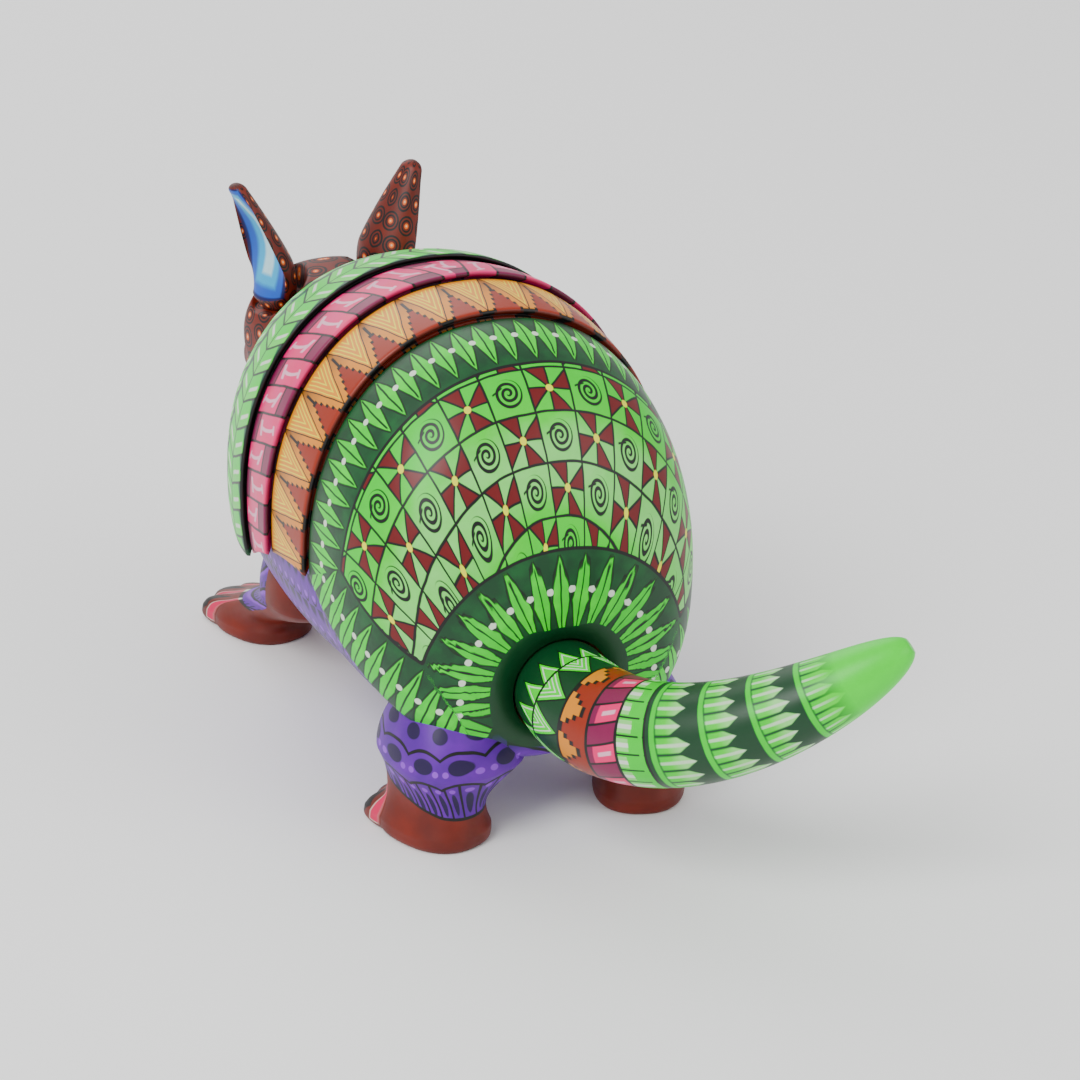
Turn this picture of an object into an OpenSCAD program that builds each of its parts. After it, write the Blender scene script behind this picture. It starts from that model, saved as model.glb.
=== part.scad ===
// Carved and painted wooden armadillo: a drilled trunk with armour bands in relief,
// a dowelled head and legs, plug-in ears, and a tail that turns on a round peg.
// It faces -Y, its left side is +X, and its soles stand on z = 0.

/* [Shell] */
// width of the shell at its widest band
shell_w = 67.5; // [58:0.5:86]
// height of the crown of the shell above the table
shell_h = 84; // [70:1:102]
// length of the shell from its front rim to the tail seat
shell_l = 91; // [76:1:109]
// how far the rear rim of a band stands over the next band
band_step = 1.3; // [0.6:0.1:2]
// how far the shell stands out from the flank below it
lip = 1.8; // [1:0.1:3]
// height of the belly above the table
belly_z = 11; // [8:0.5:14]

/* [Tail] */
// diameter of the tail behind its root
tail_d = 18; // [15:0.5:22]
// height of the tail root above the table
tail_z = 28; // [25:1:34]
// how far the tail reaches behind its root
tail_back = 46; // [36:1:56]
// how far the tail sweeps to the side
tail_side = 40; // [30:1:50]
// how far the tail tip rises above its root
tail_rise = 21; // [8:1:26]
// diameter of the peg the tail turns on
peg_d = 6; // [4.5:0.25:8]
// length of the tail peg
peg_l = 30; // [24:1:36]

/* [Head] */
// length of the head from the neck seat to the nose
head_l = 52; // [43:1:63]
// width of the head across the cheeks
head_w = 31; // [26:1:38]
// length of an ear above its seat
ear_l = 25; // [20:1:30]
// width of an ear at its widest
ear_w = 13; // [10.5:0.5:15]
// diameter of the peg under an ear
ear_peg_d = 4; // [3:0.25:5]
// how far both ears are swivelled to the animal's left, in degrees
ear_swivel = 18; // [-20:1:25]

/* [Legs] */
// length of a foot from heel to claws
foot_l = 24; // [20:1:29]
// width of a foot
foot_w = 16; // [13:0.5:19]
// how far the paws point outward, in degrees
toe_out = 22; // [0:1:30]
// diameter of the dowels in the legs
dowel_d = 5; // [4:0.25:6.5]
// diameter of the dowel in the neck
neck_dowel_d = 7; // [5.5:0.25:9]

/* [Fits] */
// gap round a peg that turns or slides
run_gap = 0.08; // [0.04:0.01:0.1]
// glue gap round a dowel and between two seats
glue_gap = 0.05; // [0.03:0.01:0.1]
// open gap between parts that move past each other
free_gap = 0.4; // [0.3:0.05:0.8]

/* [Hidden] */
$fn = 48;
band_w = shell_l * 0.162;
rump_l = shell_l * 0.342;
shoulder_l = shell_l - rump_l - 2 * band_w;
half_w = shell_w / 2;
tail_r = tail_d / 2;
root_r = tail_r * 0.94;
seat_r = tail_r + 2;
tail_root = [0, rump_l + 1, tail_z];
peg_in = peg_l * 0.6;
rim_y = -2 * band_w - shoulder_l;
neck_y = rim_y - 7;
neck_z = shell_h * 0.6;
neck_dowel_l = 20;
arc_n = 44;
low_n = 22;

// ---------------------------------------------------------------- helpers
function mix(a, b, t) = a + (b - a) * t;
function ease(t) = t * t * (3 - 2 * t);
function clamp(t) = min(max(t, 0), 1);
function spow(v, p) = sign(v) * pow(abs(v), p);
function sq(v) = v * v;
function unit(v) = v / norm(v);

// a closed solid through a list of rings with equal point counts
module skin(rings) {
    n = len(rings[0]);
    m = len(rings);
    polyhedron(
        points = [for (r = rings) each r],
        faces = concat(
            [[for (i = [0 : n - 1]) i]],
            [for (j = [0 : m - 2]) for (i = [0 : n - 1]) each [
                [j * n + i, (j + 1) * n + i, j * n + (i + 1) % n],
                [j * n + (i + 1) % n, (j + 1) * n + i, (j + 1) * n + (i + 1) % n]]],
            [[for (i = [n - 1 : -1 : 0]) (m - 1) * n + i]]));
}

// a round rod from one point towards a direction
module rod(from, dir, length, d, flare = 0) {
    translate(from)
        rotate([0, acos(unit(dir).z), atan2(dir.y, dir.x)])
            cylinder(h = length, d1 = d, d2 = d + 2 * flare * length);
}

// ---------------------------------------------------------------- trunk
// a point on a hoop that stands between a top and a bottom point of the side view
function hoop(top, bot, half, mid, phi, off) =
    let (v = top - bot, l = norm(v), u = v / l, c = bot + v * mid, k = cos(phi))
    let (h = (k > 0 ? l * (1 - mid) : l * mid) + off, z = h * spow(k, k > 0 ? 0.94 : 0.8))
    [(half + off) * spow(sin(phi), k > 0 ? 0.92 : 0.8), c.x + u.x * z, c.y + u.y * z];

// side view of the shell ahead of the rump, q from -3 at the front rim to 0 at the rump rim
function fore(q) = clamp(-2 - q);
function band_y(q) = q > -2 ? q * band_w : -2 * band_w - shoulder_l * sin(90 * pow(fore(q), 1.15));
function band_top(q) = [band_y(q), shell_h - 1.6 * sq(q + 1) - 13 * (1 - cos(90 * fore(q)))];
function band_bot(q) = [mix(band_y(q) - 4, rim_y + 6, fore(q)), belly_z + 9 * sq(fore(q))];
function band_half(q) = half_w - 1.1 * sq(q + 1.2) - 8.5 * pow(fore(q), 1.6);
function band_edge(q) = mix(mix(93, 106, sq(q / 2)), 96, sq(fore(q)));

// side view of the rump, a from 0 at its rim to 1 at the tail seat
function rump_top(a) =
    let (p = band_top(0))
    [rump_l * pow(sin(a * 90), 0.95), mix(tail_z + seat_r, p.y, pow(cos(a * 90), 0.95))];
function rump_bot(a) =
    let (p = band_bot(0))
    [mix(p.x, rump_l - 2, pow(sin(a * 90), 0.8)), mix(tail_z - seat_r, p.y, pow(cos(a * 90), 0.5))];
function rump_half(a) = mix(seat_r, band_half(0) + 0.4, pow(cos(a * 90), 0.68));
function rump_edge(a) = a < 0.8
    ? mix(band_edge(0), 138, pow(a / 0.8, 0.9))
    : mix(100, 138, sqrt(max(1 - sq((a - 0.8) / 0.2), 0)));

function ring(top, bot, half, mid, up_off, low_off, edge) = concat(
    [for (i = [0 : arc_n]) hoop(top, bot, half, mid, mix(-edge, edge, i / arc_n), up_off)],
    [for (i = [0 : low_n]) hoop(top, bot, half, mid, mix(edge, 360 - edge, i / low_n), low_off)]);
function band_ring(q, off) =
    ring(band_top(q), band_bot(q), band_half(q), 0.45, off, -lip, band_edge(q));
function rump_ring(a) =
    ring(rump_top(a), rump_bot(a), rump_half(a), mix(0.45, 0.5, a), 0, -lip * (1 - a * a), rump_edge(a));
// the chest between the neck face, t = 0, and the underside of the front rim, t = 1
function chest_ring(t) =
    let (y = mix(neck_y, rim_y + 2, t), k = pow(t, 1.5), top = mix(neck_z + 12.5, band_top(-3).y - 3, k))
    ring([y, top], [y, mix(neck_z - 12.5, belly_z + 7, pow(t, 0.8))], mix(12.5, band_half(-3) - 2.5, k), 0.5, 0, 0, 110);

trunk_rings = concat(
    [for (i = [0 : 6]) chest_ring(i / 6)],
    [for (i = [0 : 8]) band_ring(-3 + i / 8, band_step * (0.3 + 0.7 * i / 8))],
    [for (b = [-2, -1]) for (i = [0 : 4]) band_ring(b + i / 4, band_step * (0.1 + 0.9 * i / 4))],
    [for (i = [0 : 18]) rump_ring(i / 18)]);

module trunk_bores() {
    translate(tail_root) sphere(r = root_r + free_gap);
    rod(tail_root + [0, 1, 0], [0, -1, 0], peg_in + 2, peg_d + 2 * run_gap);
    rod([0, neck_y - 1, neck_z], [0, 1, 0], neck_dowel_l / 2 + 2, neck_dowel_d + 2 * glue_gap);
    for (s = [-1, 1]) {
        leg_pocket(front_leg(s), front_seat);
        leg_pocket(hind_leg(s), hind_seat);
    }
}

// the pocket a leg is glued into, with its dowel bore
module leg_pocket(leg, seat) {
    translate([0, 0, -1])
        linear_extrude(seat + 1)
            polygon([for (v = leg_ring(leg, 0, 1, glue_gap)) [v.x, v.y]]);
    rod([leg[0].x, leg[0].y, seat - 1], [0, 0, 1], dowel_l / 2 + 2, dowel_d + 2 * glue_gap);
}

module trunk() color("limegreen") {
    difference() {
        skin(trunk_rings);
        trunk_bores();
    }
}

// ---------------------------------------------------------------- head
// stations of the head, s from 0 at the neck seat to 1 at the nose
function head_y(s) = neck_y - glue_gap - head_l * s;
function head_z(s) = neck_z + 2.5 * sin(180 * clamp(s * 1.6)) - 15 * ease(clamp((s - 0.25) / 0.75));
function head_half(s) = s < 0.32
    ? mix(12.5, head_w / 2, ease(s / 0.32))
    : mix(head_w / 2, 5.2, pow(sin(90 * clamp((s - 0.32) / 0.64)), 1.25));
function head_tall(s) = s < 0.32
    ? mix(12.5, 13, ease(s / 0.32))
    : mix(13, 5, pow(sin(90 * clamp((s - 0.32) / 0.64)), 1.15));
function nose(s) = s < 0.93 ? 1 : sqrt(max(1 - sq((s - 0.93) / 0.075), 0.02));
function head_ring(s) =
    [for (i = [0 : 35]) let (p = i * 10)
        [-head_half(s) * nose(s) * spow(sin(p), 0.9), head_y(s),
            head_z(s) + head_tall(s) * nose(s) * spow(cos(p), 0.9)]];
head_rings = [for (i = [0 : 34]) head_ring(i < 26 ? i / 26 * 0.93 : mix(0.93, 1, (i - 26) / 8))];

ear_s = 0.25;
ear_foot = 4.6;
function ear_base(side) = [side * head_w * 0.31, head_y(ear_s), head_z(ear_s) + 6.5];
function ear_dir(side) = unit([side * 0.33, 0, 1]);
function ear_face(side) =
    let (a = (side > 0 ? -7 : 187) + ear_swivel)
    unit(cross(cross(ear_dir(side), [cos(a), sin(a), 0]), ear_dir(side)));
ear_flare = 0.2 * (ear_w / 2 - ear_foot + free_gap);
ear_peg_l = 8;

module head() color("sienna") {
    difference() {
        skin(head_rings);
        rod([0, neck_y + 1, neck_z], [0, -1, 0], neck_dowel_l / 2 + 3, neck_dowel_d + 2 * glue_gap);
        for (s = [-1, 1]) {
            rod(ear_base(s), ear_dir(s), 12, 2 * (ear_foot + free_gap), ear_flare);
            rod(ear_base(s) - ear_dir(s) * (ear_peg_l + 1), ear_dir(s), 12, ear_peg_d + 2 * run_gap);
        }
    }
}

module neck_dowel() color("burlywood")
    rod([0, neck_y + neck_dowel_l / 2, neck_z], [0, -1, 0], neck_dowel_l, neck_dowel_d);

// ---------------------------------------------------------------- ears
function ear_rad(t) =
    t < 0.3 ? mix(ear_foot - 0.4, ear_w / 2, sin(90 * t / 0.3)) : mix(ear_w / 2, 1.9, pow((t - 0.3) / 0.7, 1.25));
function ear_cup(t) = t < 0.1 ? 0 : t > 0.98 ? 0 : pow(sin(180 * (t - 0.1) / 0.88), 0.75);

// one slice of the ear: a round back and a dished face
function ear_ring(side, t) =
    let (d = ear_dir(side), f = ear_face(side), w = cross(d, f), tip = clamp((t - 0.94) / 0.062))
    let (r = ear_rad(t) * sqrt(1 - sq(tip)), c = ear_base(side) + d * (0.3 + ear_l * t))
    [for (i = [0 : 31]) let (p = i * 11.25, g = -cos(p) * r, dish = 1.15 * ear_cup(t) * max(g, 0))
        c - w * sin(p) * r + f * (g * 0.72 - dish)];

module ear(side) {
    skin([for (i = [0 : 26]) ear_ring(side, i < 20 ? i / 20 * 0.94 : mix(0.94, 1, (i - 20) / 6))]);
    rod(ear_base(side) - ear_dir(side) * ear_peg_l, ear_dir(side), ear_peg_l + 1.5, ear_peg_d);
}

module ear_left() color("saddlebrown") ear(1);
module ear_right() color("saddlebrown") ear(-1);

// ---------------------------------------------------------------- tail
// centre line of the tail, s from 0 at the root to 1 at the tip
function tail_at(s) = tail_root + [
    -tail_side * pow(s, 1.75),
    tail_back * (1.45 * s - 0.45 * s * s),
    tail_rise * (1.5 * s * s - 0.5 * s)];
function tail_rad(s) = s < 0.12
    ? mix(root_r, tail_r, sin(90 * s / 0.12))
    : tail_r * pow(max(1 - sq((s - 0.12) / 0.88), 0), 0.4);
function tail_ring(s) =
    let (d = unit(tail_at(s + 0.004) - tail_at(s - 0.004)), a = unit(cross(d, [0, 0, 1])), b = cross(a, d))
    [for (i = [0 : 31]) tail_at(s) + (a * cos(i * 11.25) - b * sin(i * 11.25)) * max(tail_rad(s), 0.5)];
tail_rings = concat(
    [for (i = [1 : 8]) let (e = i * 10, c = tail_root)
        [for (k = [0 : 31]) c + [
            root_r * sin(e) * cos(k * 11.25), -root_r * cos(e), -root_r * sin(e) * sin(k * 11.25)]]],
    [for (i = [0 : 34]) tail_ring(i < 30 ? 0.004 + i / 30 * 0.95 : mix(0.954, 0.996, (i - 30) / 4))]);

module tail() color("lime") {
    difference() {
        skin(tail_rings);
        rod(tail_root - [0, root_r + 1, 0], [0, 1, 0], root_r + 1 + peg_l - peg_in, peg_d + 2 * run_gap);
    }
}

module tail_peg() color("burlywood")
    rod(tail_root - [0, peg_in, 0], [0, 1, 0], peg_l - 1, peg_d);

// ---------------------------------------------------------------- legs
front_seat = shell_h * 0.33;
hind_seat = shell_h * 0.24;
dowel_l = 18;

// each leg: centre of its top, half sizes of its top, centre of its sole, half sizes of its sole
function front_leg(s) = [[s * shell_w * 0.235, rim_y + 11], [8.5, 10],
    [s * shell_w * 0.28, rim_y - 8], [foot_w / 2, foot_l * 0.4]];
function hind_leg(s) = [[s * shell_w * 0.25, rump_l * 0.6], [9.5, 12],
    [s * shell_w * 0.28, rump_l * 0.66], [foot_w / 2, foot_l * 0.42]];

// one level of a leg, up = 0 at the sole outline and 1 at the top outline
function leg_ring(leg, z, up, grow) =
    let (c = mix(leg[2], leg[0], up), h = mix(leg[3], leg[1], up), toe = 3.2 * (1 - ease(clamp(up * 2.2 + z / 12))))
    let (a = sign(leg[0].x) * toe_out * (1 - up))
    [for (i = [0 : 47]) let (p = i * 7.5, t = (p - 270) / 54,
            lobe = abs(t) < 1 ? toe * (0.25 + pow(abs(cos(270 * t)), 0.7)) : 0,
            x = (h.x + grow) * spow(cos(p), 0.84), y = (h.y + grow) * spow(sin(p), 0.84) - lobe)
        [c.x + x * cos(a) - y * sin(a), c.y + x * sin(a) + y * cos(a), z]];

// z of the levels: a softened sole edge, the paw, the ankle, then the straight top in its pocket
function leg_rings(leg, seat) = concat(
    [leg_ring(leg, 0, 0, -0.9), leg_ring(leg, 0.4, 0, -0.3), leg_ring(leg, 1.2, 0, 0)],
    [for (i = [0 : 7]) leg_ring(leg, mix(2.5, 14, i / 7), ease(clamp((i - 0.5) / 6.5)), -1.4 * sin(180 * i / 7))],
    [leg_ring(leg, seat - glue_gap, 1, 0)]);

module leg(leg, seat) {
    difference() {
        skin(leg_rings(leg, seat));
        rod([leg[0].x, leg[0].y, seat + 1], [0, 0, -1], dowel_l / 2 + 2, dowel_d + 2 * glue_gap);
    }
}
module dowel(leg, seat)
    rod([leg[0].x, leg[0].y, seat - dowel_l / 2], [0, 0, 1], dowel_l, dowel_d);

module leg_front_left() color("mediumpurple") leg(front_leg(1), front_seat);
module leg_front_right() color("mediumpurple") leg(front_leg(-1), front_seat);
module leg_hind_left() color("mediumpurple") leg(hind_leg(1), hind_seat);
module leg_hind_right() color("mediumpurple") leg(hind_leg(-1), hind_seat);
module dowel_front_left() color("burlywood") dowel(front_leg(1), front_seat);
module dowel_front_right() color("burlywood") dowel(front_leg(-1), front_seat);
module dowel_hind_left() color("burlywood") dowel(hind_leg(1), hind_seat);
module dowel_hind_right() color("burlywood") dowel(hind_leg(-1), hind_seat);

// ---------------------------------------------------------------- all nodes
// every node is drawn from the middle of the figure's own box on the table
tips = concat([for (r = tail_rings) each r], [for (r = trunk_rings) each r], [for (r = head_rings) each r]);
middle = [(min([for (v = tips) v.x]) + max([for (v = tips) v.x])) / 2,
    (min([for (v = tips) v.y]) + max([for (v = tips) v.y])) / 2, 0];
module placed() translate(-middle) children();

placed() trunk();
placed() head();
placed() ear_left();
placed() ear_right();
placed() tail();
placed() tail_peg();
placed() neck_dowel();
placed() leg_front_left();
placed() leg_front_right();
placed() leg_hind_left();
placed() leg_hind_right();
placed() dowel_front_left();
placed() dowel_front_right();
placed() dowel_hind_left();
placed() dowel_hind_right();
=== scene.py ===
"""Carved and painted wooden armadillo: shell plates, body, head, ears, paws and tail."""
import math

import bmesh
import bpy
import numpy as np
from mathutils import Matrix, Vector


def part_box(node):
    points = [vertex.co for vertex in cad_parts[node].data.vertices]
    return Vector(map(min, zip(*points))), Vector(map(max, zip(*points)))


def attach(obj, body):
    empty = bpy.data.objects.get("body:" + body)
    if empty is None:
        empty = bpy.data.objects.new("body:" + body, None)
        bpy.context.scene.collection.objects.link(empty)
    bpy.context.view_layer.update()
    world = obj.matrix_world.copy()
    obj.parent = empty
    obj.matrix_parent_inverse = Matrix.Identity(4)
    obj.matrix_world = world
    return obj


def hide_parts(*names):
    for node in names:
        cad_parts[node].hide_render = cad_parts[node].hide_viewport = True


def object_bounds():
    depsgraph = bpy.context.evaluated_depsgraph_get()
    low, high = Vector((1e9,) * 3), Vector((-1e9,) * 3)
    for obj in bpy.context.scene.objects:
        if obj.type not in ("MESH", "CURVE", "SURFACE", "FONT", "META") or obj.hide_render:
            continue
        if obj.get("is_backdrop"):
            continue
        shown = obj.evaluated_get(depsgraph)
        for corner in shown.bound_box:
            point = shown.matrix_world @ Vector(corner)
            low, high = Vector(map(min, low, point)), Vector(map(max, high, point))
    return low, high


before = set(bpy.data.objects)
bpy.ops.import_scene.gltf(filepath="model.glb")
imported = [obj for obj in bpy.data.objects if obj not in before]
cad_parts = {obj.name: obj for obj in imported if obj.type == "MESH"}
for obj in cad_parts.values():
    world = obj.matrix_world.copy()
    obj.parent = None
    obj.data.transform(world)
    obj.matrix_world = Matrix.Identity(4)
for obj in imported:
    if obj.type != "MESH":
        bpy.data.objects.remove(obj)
cad_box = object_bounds()

# ------------------------------------------------------------------ sizes, in millimetres
SHELL_W = 67.5
SHELL_H = 84.0
SHELL_L = 91.0
BAND_STEP = 1.3
LIP = 1.8
BELLY_Z = 11.0
TAIL_D = 18.0
TAIL_Z = 28.0
TAIL_BACK = 46.0
TAIL_SIDE = 40.0
TAIL_RISE = 21.0
HEAD_L = 52.0
HEAD_W = 31.0
EAR_L = 25.0
EAR_W = 13.0
FOOT_L = 24.0
FOOT_W = 16.0
TOE_OUT = 22.0

BAND_W = SHELL_L * 0.162
RUMP_L = SHELL_L * 0.342
SHOULDER_L = SHELL_L - RUMP_L - 2 * BAND_W
HALF_W = SHELL_W / 2
TAIL_R = TAIL_D / 2
ROOT_R = TAIL_R * 0.94
SEAT_R = TAIL_R + 2
RIM_Y = -2 * BAND_W - SHOULDER_L
NECK_Y = RIM_Y - 7
NECK_Z = SHELL_H * 0.6
EAR_S = 0.25
EAR_FOOT = 4.6
EAR_SWIVEL = 18.0
PEG_BORE = 3.08
FRINGE = 13.5
WALL_RUMP = 2.0
WALL_BAND = 2.6

peg_lo, peg_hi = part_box("tail_peg")
trunk_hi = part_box("trunk")[1]
SHIFT = Vector(((peg_lo.x + peg_hi.x) * 500, trunk_hi.y * 1000 - RUMP_L, 0))
ROOT = Vector((0, RUMP_L + 1, TAIL_Z))


# ------------------------------------------------------------------ shapes
def mix(a, b, t):
    return a + (b - a) * t


def clamp(t):
    return min(max(t, 0.0), 1.0)


def ease(t):
    t = clamp(t)
    return t * t * (3 - 2 * t)


def spow(v, p):
    return math.copysign(abs(v) ** p, v)


def sin(deg):
    return math.sin(math.radians(deg))


def cos(deg):
    return math.cos(math.radians(deg))


def hoop(top, bot, half, mid, phi, off):
    """A point on a hoop that stands between a top and a bottom point of the side view."""
    vy, vz = top[0] - bot[0], top[1] - bot[1]
    length = math.hypot(vy, vz)
    k = cos(phi)
    h = (length * (1 - mid) if k > 0 else length * mid) + off
    z = h * spow(k, 0.94 if k > 0 else 0.8) / length
    x = (half + off) * spow(sin(phi), 0.92 if k > 0 else 0.8)
    return Vector((x, bot[0] + vy * mid + vy * z, bot[1] + vz * mid + vz * z))


def fore(q):
    """How far into the shoulder shield q is. The plates run from q = 0 at the rump to -3 at the neck."""
    return clamp(-2 - q)


def band_y(q):
    return q * BAND_W if q > -2 else -2 * BAND_W - SHOULDER_L * sin(90 * fore(q) ** 1.15)


def band_top(q):
    return (band_y(q), SHELL_H - 1.6 * (q + 1) ** 2 - 13 * (1 - cos(90 * fore(q))))


def band_bot(q):
    return (mix(band_y(q) - 4, RIM_Y + 6, fore(q)), BELLY_Z + 9 * fore(q) ** 2)


def band_half(q):
    return HALF_W - 1.1 * (q + 1.2) ** 2 - 8.5 * fore(q) ** 1.6


def band_edge(q):
    return mix(mix(93, 106, (q / 2) ** 2), 96, fore(q) ** 2)


def band_point(q, phi, off):
    return hoop(band_top(q), band_bot(q), band_half(q), 0.45, phi, off)


def rump_top(a):
    """The crown line of the rump shield, from a = 0 at its front edge to a = 1 at the tail."""
    z = mix(TAIL_Z + SEAT_R, band_top(0)[1], cos(a * 90) ** 0.95)
    return (RUMP_L * sin(a * 90) ** 0.95, z)


def rump_bot(a):
    p = band_bot(0)
    y = mix(p[0], RUMP_L - 2, sin(a * 90) ** 0.8)
    return (y, mix(TAIL_Z - SEAT_R, p[1], cos(a * 90) ** 0.5))


def rump_edge(a):
    if a < 0.8:
        return mix(band_edge(0), 138, (a / 0.8) ** 0.9)
    return mix(100, 138, math.sqrt(max(1 - ((a - 0.8) / 0.2) ** 2, 0)))


def rim_depth(edge, phi):
    """How far in from a plate's side rim an angle on its hoop is."""
    return (edge - abs(phi)) * HALF_W * 0.0175


def rump_point(a, phi, off):
    a = clamp(a)
    half = mix(SEAT_R, band_half(0) + 0.4, cos(a * 90) ** 0.68)
    return hoop(rump_top(a), rump_bot(a), half, mix(0.45, 0.5, a), phi, off)


def chest_point(t, phi):
    k = t ** 1.5
    top = (mix(NECK_Y, RIM_Y + 2, t), mix(NECK_Z + 12.5, band_top(-3)[1] - 3, k))
    bot = (top[0], mix(NECK_Z - 12.5, BELLY_Z + 7, t ** 0.8))
    return hoop(top, bot, mix(12.5, band_half(-3) - 2.5, k), 0.5, phi, 0)


# ------------------------------------------------------------------ mesh makers
def sheet(cols, rows, place, maps, wrap=False):
    """A grid whose corner (u, v) is moved to place(u, v), with a UV map for each entry of maps.
    A wrapped one has its two sides joined and its ends closed."""
    bm = bmesh.new()
    layers = {name: bm.loops.layers.uv.new(name) for name in maps}
    bmesh.ops.create_grid(bm, x_segments=cols, y_segments=rows, size=1)
    spot = {v: ((v.co.x + 1) / 2, (v.co.y + 1) / 2) for v in bm.verts}
    for name, where in maps.items():
        known = {v: where(*uv) for v, uv in spot.items()}
        for face in bm.faces:
            for loop in face.loops:
                loop[layers[name]].uv = known[loop.vert]
    for v, uv in spot.items():
        v.co = place(*uv)
    if wrap:
        bmesh.ops.remove_doubles(bm, verts=bm.verts, dist=0.002)
        rims = [e for e in bm.edges if e.is_boundary]
        if rims:
            bmesh.ops.holes_fill(bm, edges=rims, sides=0)
    return bm


def piece(name, bm, paint, body, nodes):
    """Turns a bmesh in millimetres into a finished piece that stands for its CAD nodes."""
    for v in bm.verts:
        v.co = (v.co + SHIFT) / 1000
    bmesh.ops.recalc_face_normals(bm, faces=bm.faces)
    for face in bm.faces:
        face.smooth = True
    mesh = bpy.data.meshes.new(name)
    bm.to_mesh(mesh)
    bm.free()
    obj = bpy.data.objects.new(name, mesh)
    bpy.context.scene.collection.objects.link(obj)
    mesh.materials.append(paint)
    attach(obj, body)
    if nodes:
        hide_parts(*nodes)
    return obj


def thicken(obj, mm):
    """Gives a plate its wall, inward from the painted face."""
    shell = obj.modifiers.new("wall", "SOLIDIFY")
    shell.thickness = mm / 1000
    shell.offset = -1
    return obj


# ------------------------------------------------------------------ shader maths
class Value:
    """A number in a material, so that sums on it read as sums."""

    def __init__(self, paint, socket):
        self.paint = paint
        self.socket = socket

    def op(self, kind, *others, cap=False):
        return self.paint.math(kind, self, *others, cap=cap)

    def __add__(self, other):
        return self.op("ADD", other)

    def __sub__(self, other):
        return self.op("SUBTRACT", other)

    def __mul__(self, other):
        return self.op("MULTIPLY", other)

    def __truediv__(self, other):
        return self.op("DIVIDE", other)

    def __radd__(self, other):
        return self.op("ADD", other)

    def __rmul__(self, other):
        return self.op("MULTIPLY", other)

    def __rsub__(self, other):
        return self.paint.math("SUBTRACT", other, self)

    def __rtruediv__(self, other):
        return self.paint.math("DIVIDE", other, self)

    def __neg__(self):
        return self.op("MULTIPLY", -1)

    def abs(self):
        return self.op("ABSOLUTE")

    def floor(self):
        return self.op("FLOOR")

    def fract(self):
        return self.op("FRACT")

    def pow(self, p):
        return self.op("POWER", p)

    def root(self):
        return self.op("SQRT")

    def min(self, other):
        return self.op("MINIMUM", other)

    def max(self, other):
        return self.op("MAXIMUM", other)

    def over(self, edge, soft):
        """1 above the edge and 0 below it, with a soft step this wide."""
        return self.paint.math("MULTIPLY_ADD", self - edge, 1 / soft, 0.5, cap=True)

    def under(self, edge, soft):
        """1 below the edge and 0 above it."""
        return self.paint.math("MULTIPLY_ADD", self - edge, -1 / soft, 0.5, cap=True)


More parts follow.
